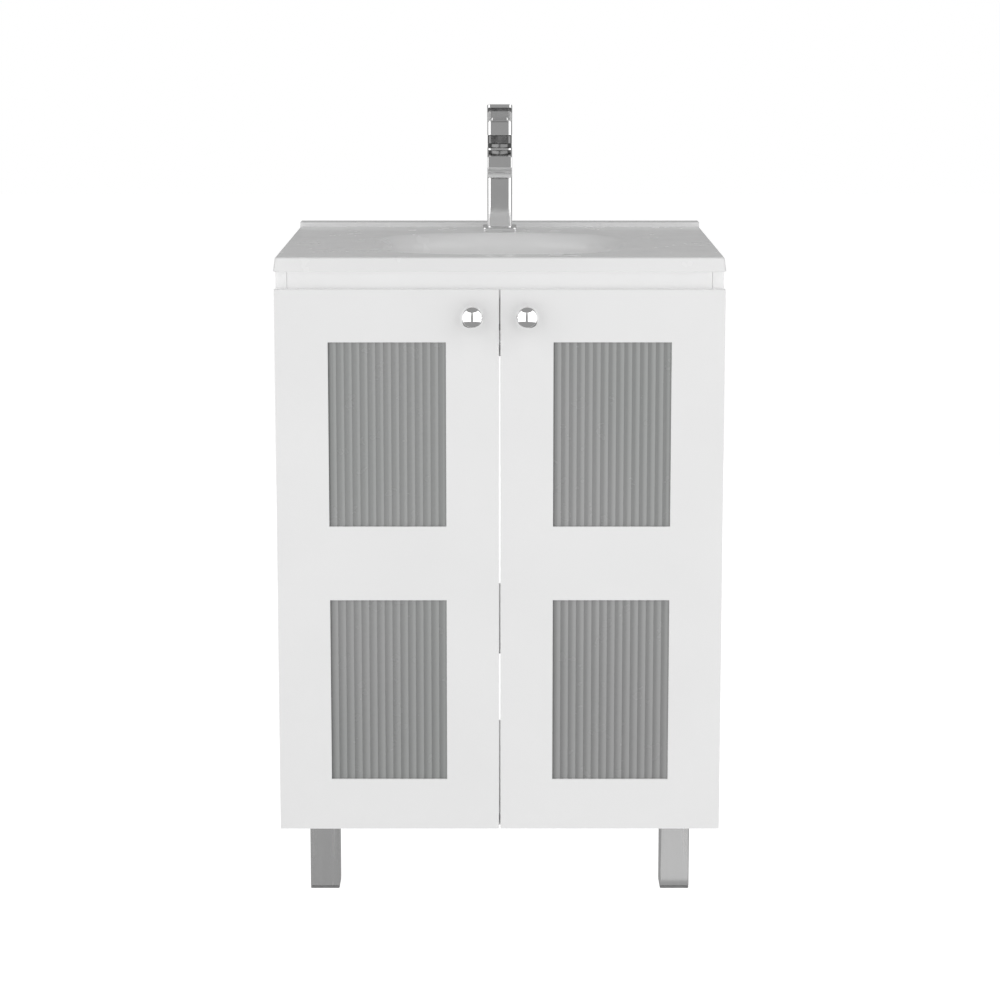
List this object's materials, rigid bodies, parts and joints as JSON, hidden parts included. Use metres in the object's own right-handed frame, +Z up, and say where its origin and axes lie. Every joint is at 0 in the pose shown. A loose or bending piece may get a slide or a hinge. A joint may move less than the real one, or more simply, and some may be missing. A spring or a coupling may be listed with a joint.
{
  "type": "bathroom vanity cabinet",
  "caption": "Freestanding bathroom vanity: white cabinet with two fluted-glass doors, a ceramic basin top with a square single-lever tap, and square metal legs.",
  "frame": {"origin": "on the floor, at the centre of the object's outline seen from above", "axes": "+Z up, +Y towards the wall behind, +X to the right of a person facing the doors"},
  "size_m": [0.6, 0.513, 1.0703],
  "materials": {
    "lacquer": "matt white lacquer on fibreboard",
    "melamine": "white melamine on board",
    "basin_ceramic": "glossy white glaze",
    "chrome": "polished",
    "leg_metal": "satin polished",
    "fitting_steel": "nickel plated",
    "dark_metal": "dark satin",
    "fluted_glass": "fluted, frosted behind",
    "retainer_plastic": "matt",
    "seal_rubber": "matt",
    "foot_plastic": "matt grey"
  },
  "bodies": {
    "carcass": {"side_panel_left": "lacquer", "side_panel_right": "lacquer", "bottom_panel": "melamine", "front_rail": "lacquer", "back_rail": "melamine", "shelf": "melamine", "shelf_pin_front_left": "fitting_steel", "shelf_pin_front_right": "fitting_steel", "shelf_pin_back_left": "fitting_steel", "shelf_pin_back_right": "fitting_steel", "leg_front_left": "leg_metal", "leg_front_right": "leg_metal", "leg_back_left": "leg_metal", "leg_back_right": "leg_metal", "leg_foot_front_left": "foot_plastic", "leg_foot_front_right": "foot_plastic", "leg_foot_back_left": "foot_plastic", "leg_foot_back_right": "foot_plastic", "hinge_plate_lower_left": "fitting_steel", "hinge_plate_upper_left": "fitting_steel", "hinge_plate_lower_right": "fitting_steel", "hinge_plate_upper_right": "fitting_steel", "hinge_arm_lower_left": "fitting_steel", "hinge_arm_upper_left": "fitting_steel", "hinge_arm_lower_right": "fitting_steel", "hinge_arm_upper_right": "fitting_steel", "basin": "basin_ceramic", "drain_body": "chrome", "drain_gasket": "seal_rubber", "drain_nut": "fitting_steel", "faucet_body": "chrome", "faucet_aerator": "dark_metal", "faucet_shank": "dark_metal", "faucet_nut": "fitting_steel", "faucet_collar": "dark_metal"},
    "door_left": {"door_panel_left": "lacquer", "glass_lower_left": "fluted_glass", "glass_upper_left": "fluted_glass", "glass_retainer_lower_left": "retainer_plastic", "glass_retainer_upper_left": "retainer_plastic", "hinge_cup_lower_left": "fitting_steel", "hinge_cup_upper_left": "fitting_steel", "knob_left": "chrome", "knob_screw_left": "fitting_steel", "bumper_left": "seal_rubber"},
    "door_right": {"door_panel_right": "lacquer", "glass_lower_right": "fluted_glass", "glass_upper_right": "fluted_glass", "glass_retainer_lower_right": "retainer_plastic", "glass_retainer_upper_right": "retainer_plastic", "hinge_cup_lower_right": "fitting_steel", "hinge_cup_upper_right": "fitting_steel", "knob_right": "chrome", "knob_screw_right": "fitting_steel", "bumper_right": "seal_rubber"},
    "stopper": {"drain_stopper": "chrome"},
    "tap_cap": {"faucet_band": "dark_metal", "faucet_cap": "chrome", "lever_pin": "fitting_steel"},
    "tap_lever": {"faucet_lever": "chrome"}
  },
  "joints": [
    {"name": "door_left_hinge", "type": "hinge", "parent": "carcass", "child": "door_left", "pos_m": [-0.299, -0.2085, 0.47], "axis": [0, 0, -1], "range_deg": [0, 110]},
    {"name": "door_right_hinge", "type": "hinge", "parent": "carcass", "child": "door_right", "pos_m": [0.299, -0.2085, 0.47], "axis": [0, 0, 1], "range_deg": [0, 110]},
    {"name": "stopper_lift", "type": "slide", "parent": "carcass", "child": "stopper", "axis": [0, 0, 1], "range_m": [0, 0.008]},
    {"name": "tap_turn", "type": "hinge", "parent": "carcass", "child": "tap_cap", "pos_m": [0, 0.1645, 1.03], "axis": [0, 0, 1], "range_deg": [-45, 45]},
    {"name": "lever_lift", "type": "hinge", "parent": "tap_cap", "child": "tap_lever", "pos_m": [0, 0.1725, 1.02872], "axis": [-1, 0, 0], "range_deg": [0, 20]}
  ]
}
